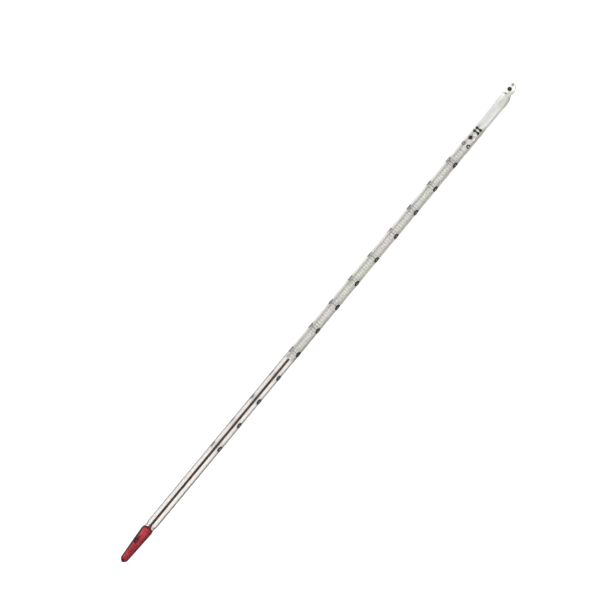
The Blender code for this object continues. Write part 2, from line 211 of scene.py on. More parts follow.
# Glass of the stem: left and right are as the scale is read, with +Y on the left.
GLASS_IOR = 1.5
STEM_TINT = (0.99, 0.99, 0.985)
# Painted shade on the stem's edges, darker as the glass turns from the eye: broad on the left, paler there
# above the column's head, and a line inside the rim on the right.
STEM_EDGE_SHADE = (0.02, 0.02, 0.016)
STEM_GLINT = (0.45, 0.45, 0.45)
EDGE_CROSSING = (AXIS_Y - 0.001, AXIS_Y + 0.001)
LEFT_EDGE_FACING = (0.20, 0.54)
LEFT_EDGE_FADE = (HEAD_HIGH.x, HEAD_HIGH.x + 0.006)
LEFT_EDGE_SHADES = (0.88, 0.3)
RIGHT_LINE_START = 0.08
RIGHT_LINE_NARROWING = (TIP_X + 0.05, TIP_X + 0.24)
RIGHT_LINE_ENDS = (0.44, 0.22)
RIGHT_LINE_FADE = (HEAD_HIGH.x, HEAD_HIGH.x + 0.06)
RIGHT_LINE_SHADES = (1.0, 0.62)
RIGHT_RIM_FACING = (0.34, 0.60)
RIGHT_RIM_CLEARING = (TIP_X + 0.05, TIP_X + 0.18)
RIGHT_RIM_SHADES = (1.0, 0.12)
SMEAR_NOISE = {"scale": 260.0, "stretch": (0.35, 1.0, 1.0)}
SMEAR_SPAN = (0.45, 0.75)
SMEAR_ROUGHNESS = 0.05
DRAW_LINE_NOISE = {"scale": 900.0, "stretch": (0.03, 1.0, 1.0), "detail": 2.0}
DRAW_LINE_STRENGTH = 0.02
DRAW_LINE_DEPTH = 0.00005

# Glass of the bulb.
BULB_TINT = (0.99, 0.985, 0.98)
# Painted shade: the bulb's glass darkens towards its outline and all across its tip.
BULB_EDGE_SHADE = (0.008, 0.0006, 0.002)
BULB_EDGE_FACING = (0.08, 0.34)
BULB_GLINT = (0.30, 0.09, 0.11)
TIP_GLINT = (0.08, 0.06, 0.06)
TIP_FADE = (TIP_X + 0.0009, TIP_X + 0.0019)
BULB_TO_STEM_FADE = (BULB_HIGH.x - 0.0016, BULB_HIGH.x)

# Glass past the enamel, and the dark lining of the eye's hole.
SMOKE_NOISE = {"scale": 300.0}
SMOKY_TINTS = ((0.50, 0.515, 0.455), (0.58, 0.59, 0.54))
# Painted shade on the edges of the glass past the enamel.
END_EDGE_SHADE = (0.14, 0.145, 0.125)
EYE_RIM_TINT = (0.80, 0.805, 0.78)
EYE_RIM_FADE = (HOLE_CENTRE.x - 0.0015, HOLE_CENTRE.x + 0.001)
# Painted highlight that pales the left side of the glass past the enamel.
PALE_SIDE_HIGHLIGHT = (0.92, 0.92, 0.90)
PALE_SIDE_FADE = (AXIS_Y + 0.0002, AXIS_Y + 0.0018)
PALE_SIDE_SHARE = 0.85
# Colour of the painted shade spots by the eye's hole.
EYE_SPOT_SHADE = (0.22, 0.23, 0.19)
HOLE_LINING_NOISE = {"scale": 1500.0}
HOLE_LINING_COLOURS = ((0.012, 0.012, 0.010), (0.06, 0.058, 0.045))
HOLE_LINING_ROUGHNESS = 0.7
HOLE_LINING_SPECULAR = 0.1

# Enamel. Its upper half's painted shades each have a place between its edge towards -Y, at -1, and the other,
# at 1: two dark lines of painted shade and a light edge of painted highlight.
ENAMEL_PAINTED_SHADES = (
    (-1.0, 0.60),
    (-0.55, 0.55),
    (-0.38, 0.37),
    (-0.24, 0.56),
    (-0.10, 0.70),
    (0.06, 0.74),
    (0.18, 0.58),
    (0.36, 0.35),
    (0.47, 0.38),
    (0.62, 0.68),
    (0.78, 0.88),
    (1.0, 0.95),
)
ENAMEL_ROUGHNESS = (0.25, 0.45)
STREAK_NOISE = {"scale": 700.0, "stretch": (0.02, 1.0, 1.0), "detail": 3.0}
STREAK_WHITE = (0.99, 0.97, 0.945)
FLUSH_NOISE = {"scale": 80.0, "stretch": (1.0, 0.2, 0.2), "detail": 2.0}
WARM_WHITES = ((0.97, 0.90, 0.855), (0.97, 0.935, 0.905))
PATCH_NOISE = {"scale": 45.0, "stretch": (1.0, 0.1, 0.1), "detail": 2.0}
PATCH_SPAN = (0.40, 0.60)
GREY_HUES = ((1.05, 0.98, 0.965), (0.985, 1.02, 0.88))
GREY_FADE = (HEAD_HIGH.x - 0.0014, HEAD_HIGH.x + 0.0008)
BARE_GREYS = ((0.585, 0.59, 0.575), (0.66, 0.665, 0.65))
BARE_FADE = (BARS_HIGH_X, BARS_HIGH_X + 0.003)
BARE_SHEEN_FADE = (AXIS_Y - 0.0010, AXIS_Y + 0.0006)
# Painted highlight on the enamel's left side, stronger the higher it is.
LEFT_HIGHLIGHT_GREY = (0.95, 0.95, 0.93)
LEFT_HIGHLIGHT_SIDE_FADE = (AXIS_Y + 0.0006, AXIS_Y + 0.0016)
LEFT_HIGHLIGHT_SHARE = 0.8
LEFT_HIGHLIGHT_CLIMB = (HEAD_HIGH.x, HEAD_HIGH.x + 0.11)
TAIL_GREY = (0.80, 0.805, 0.77)

# Spirit, in the bulb and in the thread.
SPIRIT_SPECULAR = 0.05
SPIRIT_ROUGHNESS = (0.25, 0.4)
SPIRIT_REDS = ((0.38, 0.034, 0.046), (0.60, 0.078, 0.092))
CLOUD_NOISE = {"scale": 260.0, "stretch": (0.6, 1.0, 1.0), "detail": 2.0}
CLOUD_SPAN = (0.35, 0.65)
# A wedge of painted dark reflection on the bulb's left side.
WEDGE_REFLECTION_RED = (0.055, 0.004, 0.010)
WEDGE_START_FADE = (TIP_X + 0.0105, TIP_X + 0.0111)
WEDGE_END_FADE = (TIP_X + 0.0135, TIP_X + 0.0165)
WEDGE_SIDE_FADE = (AXIS_Y - 0.0006, AXIS_Y + 0.0008)
WEDGE_SHARE = 0.95
THROAT_RED = (0.09, 0.006, 0.012)
THROAT_FADE = (TIP_X + 0.0196, TIP_X + 0.0204)
THROAT_SHARE = 0.9
THREAD_REDS = ((0.030, 0.018, 0.013), (0.070, 0.034, 0.022))
THREAD_NOISE = {"scale": 1100.0, "stretch": (0.25, 1.0, 1.0), "detail": 3.0}
THREAD_SPAN = (0.35, 0.7)
THREAD_ROUGHNESS = (0.2, 0.35)

# Ink: for each kind, its colour where it is whole and where it is worn.
INK_COLOURS = {
    "black_ink": ((0.010, 0.010, 0.011), (0.035, 0.034, 0.032)),
    "faded_ink": ((0.12, 0.12, 0.122), (0.32, 0.32, 0.31)),
    "washed_ink": ((0.10, 0.095, 0.09), (0.24, 0.23, 0.22)),
}
INK_ROUGHNESS = (0.5, 0.7)
INK_SPECULAR = 0.2
SPECK_NOISE = {"scale": 2600.0, "detail": 5.0}
SPECK_SPAN = (0.52, 0.72)

# Floor and light. The floor lies just under the thermometer and glows a little, as a light table does.
WHITE = (1.0, 1.0, 1.0)
FLOOR_HALF_WIDTH = 5.0
FLOOR_DROP = 0.00002
FLOOR_GREYS = ((0.27, 0.27, 0.27), (0.31, 0.31, 0.31))
FLOOR_NOISE = {"scale": 9.0, "detail": 2.0}
FLOOR_ROUGHNESS = 0.8
FLOOR_GLOW = 0.9
SKY_CLIMB = (0.0, 0.8)
SKY_STRENGTHS = (1.05, 1.50)
LAMP_SIZE = 1.2
LAMPS = (
    ("key_light", (-0.5, 1.6, 1.0), 9.0),
    ("fill_light", (0.9, -1.5, 1.1), 4.0),
)


def smooth_step(t):
    """Eases from 0 to 1 as t does, and stays at 0 before it and at 1 after it."""
    t = min(1.0, max(0.0, t))
    return t * t * (3.0 - 2.0 * t)


def smooth_share(value, start, end):
    return smooth_step((value - start) / (end - start))


def round_off(t):
    """Falls from 1 to 0 along a quarter of a circle as t rises from 0 to 1."""
    return math.sqrt(max(0.0, 1.0 - max(0.0, t) ** 2))


def mix(a, b, t):
    return a + (b - a) * t


def spread(start, end, count):
    """Evenly spaced numbers from start, count of them, leaving end out."""
    return [mix(start, end, index / count) for index in range(count)]


# ---------------------------------------------------------------- meshes


def level_point(at, y):
    """A point at a distance from the tip, as high as the stem's axis."""
    return Vector((TIP_X + at, y, AXIS_Z))


def ring(at, centre_y, half_width, half_depth, sides=GLASS_SIDES, squareness=ELLIPSE):
    """Points of an upright oval, at a distance from the tip. More squareness than an ellipse's is boxier."""
    points = []
    for index in range(sides):
        angle = math.tau * (index + 0.5) / sides
        sine, cosine = math.sin(angle), math.cos(angle)
        across = math.copysign(abs(sine) ** (2 / squareness), sine) * half_width
        up = math.copysign(abs(cosine) ** (2 / squareness), cosine) * half_depth
        points.append(Vector((TIP_X + at, centre_y + across, AXIS_Z + up)))
    return points


def skin(bm, rings):
    """Joins rings of as many points with bands of quads and returns their vertices."""
    made = [[bm.verts.new(point) for point in points] for points in rings]
    for first, second in zip(made, made[1:]):
        for index in range(len(first)):
            bm.faces.new((first[index - 1], first[index], second[index], second[index - 1]))
    return made


def close_to_point(bm, loop, point):
    """Closes an open end with a fan of triangles."""
    tip = bm.verts.new(point)
    for index in range(len(loop)):
        bm.faces.new((loop[index - 1], loop[index], tip))


def face_outwards(bm):
    """Turns the faces of a closed mesh outwards."""
    bmesh.ops.recalc_face_normals(bm, faces=bm.faces)
    if bm.calc_volume(signed=True) < 0:
        bmesh.ops.reverse_faces(bm, faces=bm.faces)


def tube(rings, low_tip=None, high_tip=None):
    """A closed mesh through rings, each end drawn to its tip, or flat where none is given."""
    bm = bmesh.new()
    made = skin(bm, rings)
    for loop, tip in ((made[0], low_tip), (made[-1], high_tip)):
        if tip is None:
            bm.faces.new(loop)
        else:
            close_to_point(bm, loop, tip)
    face_outwards(bm)
    return bm


def add_to(bm, part):
    """Moves the faces of one bmesh into another."""
    mesh = bpy.data.meshes.new("part")
    part.to_mesh(mesh)
    part.free()
    bm.from_mesh(mesh)
    bpy.data.meshes.remove(mesh)


def add_mesh(name, bm, *materials):
    """Makes an object of a bmesh, smooth but for its sharp edges, and frees the bmesh."""
    mesh = bpy.data.meshes.new(name)
    bm.to_mesh(mesh)
    bm.free()
    mesh.shade_smooth()
    mesh.set_sharp_from_angle(angle=SHARP_ANGLE)
    for material in materials:
        mesh.materials.append(material)
    obj = bpy.data.objects.new(name, mesh)
    bpy.context.scene.collection.objects.link(obj)
    return obj


# ---------------------------------------------------------------- materials


def new_material(name):
    """A material with its node tree, its Principled shader and its output."""
    made = bpy.data.materials.new(name)
    made.use_nodes = True
    tree = made.node_tree
    return made, tree, tree.nodes["Principled BSDF"], tree.nodes["Material Output"]


def give(tree, socket, value):
    """Feeds a socket with a plain value, a colour of three numbers, or another socket."""
    if isinstance(value, bpy.types.NodeSocket):
        tree.links.new(value, socket)
    else:
        socket.default_value = (*value, 1.0) if isinstance(value, tuple) else value


def paint(tree, shader, colour, roughness, specular=PLAIN_SPECULAR):
    """Gives a shader its colour, its roughness and how strongly it mirrors, each a value or a socket."""
    give(tree, shader.inputs["Base Color"], colour)
    give(tree, shader.inputs["Roughness"], roughness)
    give(tree, shader.inputs["Specular IOR Level"], specular)


def noise(tree, scale, stretch=(1.0, 1.0, 1.0), detail=4.0):
    """Noise in the object's own metres, drawn out along the axes whose stretch is small."""
    coordinates = tree.nodes.new("ShaderNodeTexCoord")
    mapping = tree.nodes.new("ShaderNodeMapping")
    mapping.inputs["Scale"].default_value = stretch
    made = tree.nodes.new("ShaderNodeTexNoise")
    made.inputs["Scale"].default_value = scale
    made.inputs["Detail"].default_value = detail
    made.inputs["Roughness"].default_value = NOISE_ROUGHNESS
    tree.links.new(coordinates.outputs["Object"], mapping.inputs["Vector"])
    tree.links.new(mapping.outputs["Vector"], made.inputs["Vector"])
    return made.outputs["Fac"]


def remap(tree, value, span, ends=(0.0, 1.0), interpolation="SMOOTHSTEP"):
    """Follows a value over a span, from the first end to the second. A limit or an end may be a socket."""
    made = tree.nodes.new("ShaderNodeMapRange")
    made.interpolation_type = interpolation
    for name, limit in zip(("From Min", "From Max", "To Min", "To Max"), (*span, *ends)):
        give(tree, made.inputs[name], limit)
    tree.links.new(value, made.inputs["Value"])
    return made.outputs["Result"]


def blend_colours(tree, factor, first, second, blend_type="MIX"):
    """A socket between two colours. Each is three numbers or a socket."""
    made = tree.nodes.new("ShaderNodeMix")
    made.data_type = "RGBA"
    made.blend_type = blend_type
    give(tree, made.inputs[0], factor)
    give(tree, made.inputs[6], first)
    give(tree, made.inputs[7], second)
    return made.outputs[2]


def position(tree, axis):
    """The object's own coordinate along one axis, in metres."""
    coordinates = tree.nodes.new("ShaderNodeTexCoord")
    split = tree.nodes.new("ShaderNodeSeparateXYZ")
    tree.links.new(coordinates.outputs["Object"], split.inputs[0])
    return split.outputs[axis]


def combine(tree, operation, first, second):
    """A math node's result. Each input is a number or a socket."""
    made = tree.nodes.new("ShaderNodeMath")
    made.operation = operation
    give(tree, made.inputs[0], first)
    give(tree, made.inputs[1], second)
    return made.outputs[0]


def product(tree, *factors):
    """All the factors multiplied together. Each is a socket."""
    result = factors[0]
    for factor in factors[1:]:
        result = combine(tree, "MULTIPLY", result, factor)
    return result


def soft_spot(tree, place, reach):
    """1 at a place in the plane of the scale, fading to 0 at a distance from it along X and along Y."""
    fades = []
    for axis, middle in zip("XY", place):
        away = combine(tree, "SUBTRACT", position(tree, axis), middle)
        away = combine(tree, "ABSOLUTE", away, 0.0)
        fades.append(remap(tree, away, (SPOT_CORE_SHARE * reach, reach), (1.0, 0.0)))
    return product(tree, *fades)


def bump(tree, shader, height, strength, distance):
    made = tree.nodes.new("ShaderNodeBump")
    made.inputs["Strength"].default_value = strength
    made.inputs["Distance"].default_value = distance
    tree.links.new(height, made.inputs["Height"])
    tree.links.new(made.outputs["Normal"], shader.inputs["Normal"])


def pass_shadow_rays(tree, shader, output):
    """Lets light through the glass to what lies behind it, as real glass does."""
    clear = tree.nodes.new("ShaderNodeBsdfTransparent")
    path = tree.nodes.new("ShaderNodeLightPath")
    choice = tree.nodes.new("ShaderNodeMixShader")
    tree.links.new(path.outputs["Is Shadow Ray"], choice.inputs[0])
    tree.links.new(shader.outputs["BSDF"], choice.inputs[1])
    tree.links.new(clear.outputs["BSDF"], choice.inputs[2])
    tree.links.new(choice.outputs["Shader"], output.inputs["Surface"])


def stem_edges(tree, facing, along, across):
    """How much painted shade darkens the stem's edges: a broad shade on the left and a line inside the rim on
    the right.
    """
    left_shade = remap(tree, along, LEFT_EDGE_FADE, LEFT_EDGE_SHADES)
    left = remap(tree, facing, LEFT_EDGE_FACING, (0.0, left_shade))
    line_end = remap(tree, along, RIGHT_LINE_NARROWING, RIGHT_LINE_ENDS)
    rim_shade = remap(tree, along, RIGHT_RIM_CLEARING, RIGHT_RIM_SHADES)
    right = product(
        tree,
        remap(tree, facing, (RIGHT_LINE_START, line_end)),
        remap(tree, facing, RIGHT_RIM_FACING, (1.0, rim_shade)),
        remap(tree, along, RIGHT_LINE_FADE, RIGHT_LINE_SHADES),
    )
    return remap(tree, across, EDGE_CROSSING, (right, left))


def smoky_tint(tree, along, across):
    """The glass past the enamel: dull and paler round the eye, with painted highlight on its left side and a
    spot of painted shade each way of the eye's hole.
    """
    smoky = blend_colours(tree, noise(tree, **SMOKE_NOISE), *SMOKY_TINTS)
    smoky = blend_colours(tree, remap(tree, along, EYE_RIM_FADE), smoky, EYE_RIM_TINT)
    # Painted highlight on the left side.
    pale = remap(tree, across, PALE_SIDE_FADE, (0.0, PALE_SIDE_SHARE))
    smoky = blend_colours(tree, pale, smoky, PALE_SIDE_HIGHLIGHT)
    # Painted shade in a spot each way of the hole.
    first, second = (soft_spot(tree, place, EYE_SHADE_SPOT_REACH) for place in EYE_SHADE_SPOTS)
    return blend_colours(tree, combine(tree, "MAXIMUM", first, second), smoky, EYE_SPOT_SHADE)


def glass_material():
    """Clear drawn glass: light smears of handling, draw lines along it, and painted shade on its edges and at
    the bulb's tip.
    """
    material, tree, shader, output = new_material("drawn_glass")
    shader.inputs["Transmission Weight"].default_value = 1.0
    shader.inputs["IOR"].default_value = GLASS_IOR
    facing = tree.nodes.new("ShaderNodeLayerWeight").outputs["Facing"]
    along = position(tree, "X")
    across = position(tree, "Y")
    # Painted shade darkens the stem's edges.
    stem_edge = stem_edges(tree, facing, along, across)
    stem_tint = blend_colours(tree, stem_edge, STEM_TINT, STEM_EDGE_SHADE)
    # Painted shade darkens the bulb's outline and its tip.
    tip = remap(tree, along, TIP_FADE, (1.0, 0.0))
    bulb_edge = combine(tree, "MAXIMUM", remap(tree, facing, BULB_EDGE_FACING), tip)
    bulb_tint = blend_colours(tree, bulb_edge, BULB_TINT, BULB_EDGE_SHADE)
    past_bulb = remap(tree, along, BULB_TO_STEM_FADE)
    tint = blend_colours(tree, past_bulb, bulb_tint, stem_tint)
    # Painted shade darkens the edges of the glass past the enamel too.
    end_tint = blend_colours(tree, stem_edge, smoky_tint(tree, along, across), END_EDGE_SHADE)
    tint = blend_colours(tree, remap(tree, along, STRIP_END_FADE), tint, end_tint)
    glint = blend_colours(tree, tip, BULB_GLINT, TIP_GLINT)
    glint = blend_colours(tree, past_bulb, glint, STEM_GLINT)
    tree.links.new(glint, shader.inputs["Specular Tint"])
    smears = remap(tree, noise(tree, **SMEAR_NOISE), SMEAR_SPAN, (0.0, SMEAR_ROUGHNESS))
    paint(tree, shader, tint, smears)
    bump(tree, shader, noise(tree, **DRAW_LINE_NOISE), DRAW_LINE_STRENGTH, DRAW_LINE_DEPTH)
    pass_shadow_rays(tree, shader, output)
    return material


def hole_lining_material():
    """Dark, mottled colour on the wall of the eye's hole."""
    material, tree, shader, _ = new_material("eye_residue")
    colour = blend_colours(tree, noise(tree, **HOLE_LINING_NOISE), *HOLE_LINING_COLOURS)
    paint(tree, shader, colour, HOLE_LINING_ROUGHNESS, HOLE_LINING_SPECULAR)
    return material


def painted_enamel_shades(tree, across):
    """Painted shade and highlight across the enamel's grey: two dark lines and a light edge."""
    half_width = (STRIP_HIGH.y - STRIP_LOW.y) / 2
    made = tree.nodes.new("ShaderNodeValToRGB")
    made.color_ramp.interpolation = "B_SPLINE"
    elements = made.color_ramp.elements
    while len(elements) < len(ENAMEL_PAINTED_SHADES):
        elements.new(1.0)
    for element, (place, grey) in zip(elements, ENAMEL_PAINTED_SHADES):
        element.position = 0.5 + 0.5 * place
        element.color = (grey, grey, grey, 1.0)
    width = remap(tree, across, (AXIS_Y - half_width, AXIS_Y + half_width), interpolation="LINEAR")
    tree.links.new(width, made.inputs[0])
    return made.outputs[0]


def enamel_material():
    """Enamel that is white behind the thread and grey above it, with painted shade and highlight across the
    grey, faint streaks and patches of tint.
    """
    material, tree, shader, _ = new_material("white_enamel")
    along = position(tree, "X")
    across = position(tree, "Y")
    streaks = noise(tree, **STREAK_NOISE)
    flush = remap(tree, noise(tree, **FLUSH_NOISE), PATCH_SPAN)
    white = blend_colours(tree, streaks, blend_colours(tree, flush, *WARM_WHITES), STREAK_WHITE)
    patches = remap(tree, noise(tree, **PATCH_NOISE), PATCH_SPAN)
    hue = blend_colours(tree, patches, *GREY_HUES)
    # Painted shade and highlight across the grey.
    grey = blend_colours(tree, 1.0, hue, painted_enamel_shades(tree, across), "MULTIPLY")
    bare = blend_colours(tree, remap(tree, across, BARE_SHEEN_FADE, (1.0, 0.0)), *BARE_GREYS)
    grey = blend_colours(tree, remap(tree, along, BARE_FADE), grey, bare)
    # Painted highlight on the left side, growing towards the top.
    left_highlight = product(
        tree,
        remap(tree, across, LEFT_HIGHLIGHT_SIDE_FADE, (0.0, LEFT_HIGHLIGHT_SHARE)),
        remap(tree, along, LEFT_HIGHLIGHT_CLIMB),
    )
    grey = blend_colours(tree, left_highlight, grey, LEFT_HIGHLIGHT_GREY)
    grey = blend_colours(tree, remap(tree, along, STRIP_END_FADE), grey, TAIL_GREY)
    colour = blend_colours(tree, remap(tree, along, GREY_FADE), white, grey)
    paint(tree, shader, colour, remap(tree, streaks, STREAK_SPAN, ENAMEL_ROUGHNESS))
    return material


def spirit_material():
    """Red dyed spirit, a little cloudy, with a wedge of painted dark reflection on the bulb's left side and a
    dark throat.
    """
    material, tree, shader, _ = new_material("red_spirit")
    along = position(tree, "X")
    cloud = noise(tree, **CLOUD_NOISE)
    red = blend_colours(tree, remap(tree, cloud, CLOUD_SPAN), *SPIRIT_REDS)
    # Painted dark reflection in a wedge on the left side.
    wedge = product(
        tree,
        remap(tree, along, WEDGE_START_FADE),
        remap(tree, along, WEDGE_END_FADE, (1.0, 0.0)),
        remap(tree, position(tree, "Y"), WEDGE_SIDE_FADE, (0.0, WEDGE_SHARE)),
    )
    red = blend_colours(tree, wedge, red, WEDGE_REFLECTION_RED)
    red = blend_colours(tree, remap(tree, along, THROAT_FADE, (0.0, THROAT_SHARE)), red, THROAT_RED)
    paint(tree, shader, red, remap(tree, cloud, STREAK_SPAN, SPIRIT_ROUGHNESS), SPIRIT_SPECULAR)
    return material


def thread_material():
    """The same spirit in the capillary, where it looks almost black."""
    material, tree, shader, _ = new_material("thread_spirit")
    grain = noise(tree, **THREAD_NOISE)
    colour = blend_colours(tree, remap(tree, grain, THREAD_SPAN), *THREAD_REDS)
    paint(tree, shader, colour, remap(tree, grain, STREAK_SPAN, THREAD_ROUGHNESS), SPIRIT_SPECULAR)
    return material


def ink_material(name, dark, worn):
    """Fired ink, thinner and greyer in specks where it is worn."""
    material, tree, shader, _ = new_material(name)
    specks = remap(tree, noise(tree, **SPECK_NOISE), SPECK_SPAN)
    colour = blend_colours(tree, specks, dark, worn)
    paint(tree, shader, colour, remap(tree, specks, (0.0, 1.0), INK_ROUGHNESS), INK_SPECULAR)
    return material


# ---------------------------------------------------------------- glass body


def shoulder_share(at):
    """0 up to the bulb's widest place and 1 from its waist on."""
    return smooth_share(at, BULB_WIDEST_AT, BULB_WAIST_AT)


def bulb_radius(at):
    """Outer radius from the tip to the full stem: round nose, long taper, waist, and the stem's shoulder."""
    if at >= BULB_WAIST_AT:
        return mix(BULB_WAIST_RADIUS, STEM_RADIUS, smooth_share(at, BULB_WAIST_AT, STEM_FULL_AT))
    if at > BULB_WIDEST_AT:
        return mix(BULB_WIDEST_RADIUS, BULB_WAIST_RADIUS, shoulder_share(at))
    side = mix(BULB_NOSE_RADIUS, BULB_WIDEST_RADIUS, (max(0.0, at) / BULB_WIDEST_AT) ** BULB_TAPER_POWER)
    left_out = 1.0 - min(1.0, (at + BULB_NOSE_REACH) / BULB_NOSE_LENGTH)
    bluntness, fullness = BULB_NOSE_POWERS
    return side * (1.0 - left_out**bluntness) ** fullness


def bulb_y(at):
    """The bulb's centre line stands a little to one side of the stem's axis."""
    if at > BULB_WIDEST_AT:
        return AXIS_Y + BULB_SHOULDER_SET * (1.0 - shoulder_share(at))
    return AXIS_Y + mix(BULB_TIP_SET, BULB_SHOULDER_SET, at / BULB_WIDEST_AT)


def bulb_ring(at):
    """The bulb's outside, which is a little wider than it is deep."""
    radius = bulb_radius(at)
    return ring(at, bulb_y(at), radius * mix(BULB_FLATNESS, 1.0, shoulder_share(at)), radius)


def softer_max(a, b):
    """The larger of two lengths, with a fillet where they cross."""
    top = max(a, b)
    return top + EYE_FILLET * math.log(math.exp((a - top) / EYE_FILLET) + math.exp((b - top) / EYE_FILLET))


def eye_section(at):
    """Centre, half width, half depth and squareness of the glass past the end of the straight stem."""
    neck_at, centre_at = EYE_LOW.x - TIP_X, EYE_CENTRE.x - TIP_X
    end_at = EYE_HIGH.x - TIP_X
    along = (at - neck_at) / (centre_at - neck_at)
    neck_y = mix(AXIS_Y, EYE_CENTRE.y, smooth_step(along))
    neck_half = mix(STEM_RADIUS, EYE_ROOT_HALF_WIDTH, smooth_step(along))
    neck_half *= 1.0 - smooth_step((at - centre_at) / (EYE_ROOT_END_SHARE * EYE_RADIUS) + 0.5)
    bead_half = math.sqrt(max(0.0, EYE_RADIUS**2 - (at - centre_at) ** 2))
    left = softer_max(neck_y + neck_half, EYE_CENTRE.y + bead_half)
    right = -softer_max(-(neck_y - neck_half), -(EYE_CENTRE.y - bead_half))
    depth = mix(STEM_RADIUS, EYE_HALF_DEPTH, smooth_step(along / EYE_FLAT_BY))
    depth *= round_off((at - (end_at - EYE_END_ROUNDING)) / EYE_END_ROUNDING)
    squareness = mix(ELLIPSE, EYE_SQUARENESS, smooth_step(along))
    return (left + right) / 2, (left - right) / 2, depth, squareness


def outer_rings():
    """Rings of the whole glass from just inside its tip to just short of the eye's top."""
    turns = [1.0 - math.cos(math.pi / 2 * step / NOSE_RINGS) for step in range(1, NOSE_RINGS)]
    nose = [BULB_NOSE_LENGTH * turn - BULB_NOSE_REACH for turn in turns]
    nose_end = BULB_NOSE_LENGTH - BULB_NOSE_REACH
    bulb = spread(nose_end, BULB_WIDEST_AT, BULB_RINGS)
    bulb += spread(BULB_WIDEST_AT, STEM_FULL_AT, SHOULDER_RINGS)
    rings = [bulb_ring(at) for at in nose + bulb]
    neck_at, end_at = EYE_LOW.x - TIP_X, EYE_HIGH.x - TIP_X
    rings += [ring(at, AXIS_Y, STEM_RADIUS, STEM_RADIUS) for at in spread(STEM_FULL_AT, neck_at, STEM_RINGS)]
    reach = end_at - neck_at
    for step in range(EYE_RINGS):
        at = neck_at + reach * math.sin(math.pi / 2 * step / EYE_RINGS)
        centre_y, half_width, half_depth, squareness = eye_section(at)
        rings.append(ring(at, centre_y, half_width, half_depth, squareness=squareness))
    return rings


def piercing():
    """A cutter shaped like the inside of a ring: narrowest at its waist, rounded out at both mouths."""
    profile = []
    for step in range(-PIERCING_HALF_RINGS, PIERCING_HALF_RINGS + 1):
        turn = step / PIERCING_HALF_RINGS * math.pi / 2
        radius = EYE_HOLE_RADIUS + EYE_MOUTH_ROUNDING * (1.0 - math.cos(turn))
        profile.append((radius, EYE_MOUTH_ROUNDING * math.sin(turn)))
    mouth_radius = profile[0][0]
    profile = [(mouth_radius, -PIERCING_OVERRUN)] + profile + [(mouth_radius, PIERCING_OVERRUN)]
    rings = []
    for radius, lift in profile:
        points = []
        for turn in spread(0.0, math.tau, PIERCING_SIDES):
            points.append(HOLE_CENTRE + Vector((radius * math.cos(turn), radius * math.sin(turn), lift)))
        rings.append(points)
    return add_mesh("piercing", tube(rings))


def cavity_radius(at):
    """The bulb's inside before its tip end is rounded: it follows the outside, then narrows to the neck."""
    wide = bulb_radius(min(at, BULB_WIDEST_AT)) - BULB_WALL
    return mix(wide, CAVITY_NECK_RADIUS, smooth_share(at, CAVITY_SHOULDER_AT, CAVITY_NECK_AT))


def cavity_stations():
    """Where the rings of the bulb's hollow stand."""
    start_at = BULB_TIP_WALL + CAVITY_FIRST_RING_SHARE * CAVITY_END_LENGTH
    stations = spread(start_at, CAVITY_SHOULDER_AT, CAVITY_RINGS)
    return stations + spread(CAVITY_SHOULDER_AT, CAVITY_NECK_AT, CAVITY_NECK_RINGS)


def cavity_end(at):
    """How far the hollow has closed in towards its rounded end near the tip."""
    return round_off(1.0 - (at - BULB_TIP_WALL) / CAVITY_END_LENGTH)


def cavity_ring(at, grow=0.0, sides=BORE_SIDES):
    radius = cavity_radius(at) * cavity_end(at) + grow
    return ring(at, bulb_y(at), radius, radius, sides)


def bore_ring(at, grow=0.0, sides=BORE_SIDES):
    return ring(at, BORE_Y, BORE_HALF_WIDTH + grow, BORE_HALF_DEPTH + grow, sides)


def add_hollow(bm):
    """The inner surface of the glass: the bulb's hollow, the bore, and the expansion chamber at its top."""
    rings = [cavity_ring(at) for at in cavity_stations()]
    chamber_start = CHAMBER_AT - CHAMBER_LENGTH / 2
    rings += [bore_ring(at) for at in spread(BORE_FOOT_AT, chamber_start, BORE_RINGS)]
    for along in spread(0.0, 1.0, CHAMBER_RINGS):
        swell = CHAMBER_SWELL * math.sin(math.pi * along) ** CHAMBER_SWELL_POWER
        end = round_off((along - CHAMBER_END_FROM) / (1.0 - CHAMBER_END_FROM))
        at = chamber_start + CHAMBER_LENGTH * along
        half_width = (BORE_HALF_WIDTH + swell) * end
        half_depth = (BORE_HALF_DEPTH + swell) * end
        rings.append(ring(at, BORE_Y, half_width, half_depth, BORE_SIDES))
    chamber_top = level_point(chamber_start + CHAMBER_LENGTH, BORE_Y)
    hollow = tube(rings, level_point(BULB_TIP_WALL, bulb_y(0.0)), chamber_top)
    bmesh.ops.reverse_faces(hollow, faces=hollow.faces)
    add_to(bm, hollow)


def make_glass():
    """One glass body with a smooth outside, a pierced eye and a hollow inside."""
    nose = level_point(-BULB_NOSE_REACH, bulb_y(0.0))
    crown = Vector((EYE_HIGH.x, EYE_CENTRE.y, AXIS_Z))
    blank = add_mesh("glass_blank", tube(outer_rings(), nose, crown))
    cutter = piercing()
    modifier = blank.modifiers.new("pierce", "BOOLEAN")
    modifier.operation = "DIFFERENCE"
    modifier.solver = "EXACT"
    modifier.object = cutter
    pierced = blank.evaluated_get(bpy.context.evaluated_depsgraph_get()).to_mesh()
    body = bmesh.new()
    body.from_mesh(pierced)
    for face in body.faces:
        out = face.calc_center_median() - HOLE_CENTRE
        face.material_index = int(math.hypot(out.x, out.y) < HOLE_LINING_RADIUS)
    add_hollow(body)
    bpy.data.objects.remove(blank)
    bpy.data.objects.remove(cutter)
    glass = add_mesh("glass_body", body, glass_material(), hole_lining_material())
    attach(glass, "thermometer")
    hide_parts("bulb_glass", "glass_stem", "hanging_eye")


# ---------------------------------------------------------------- enamel and spirit


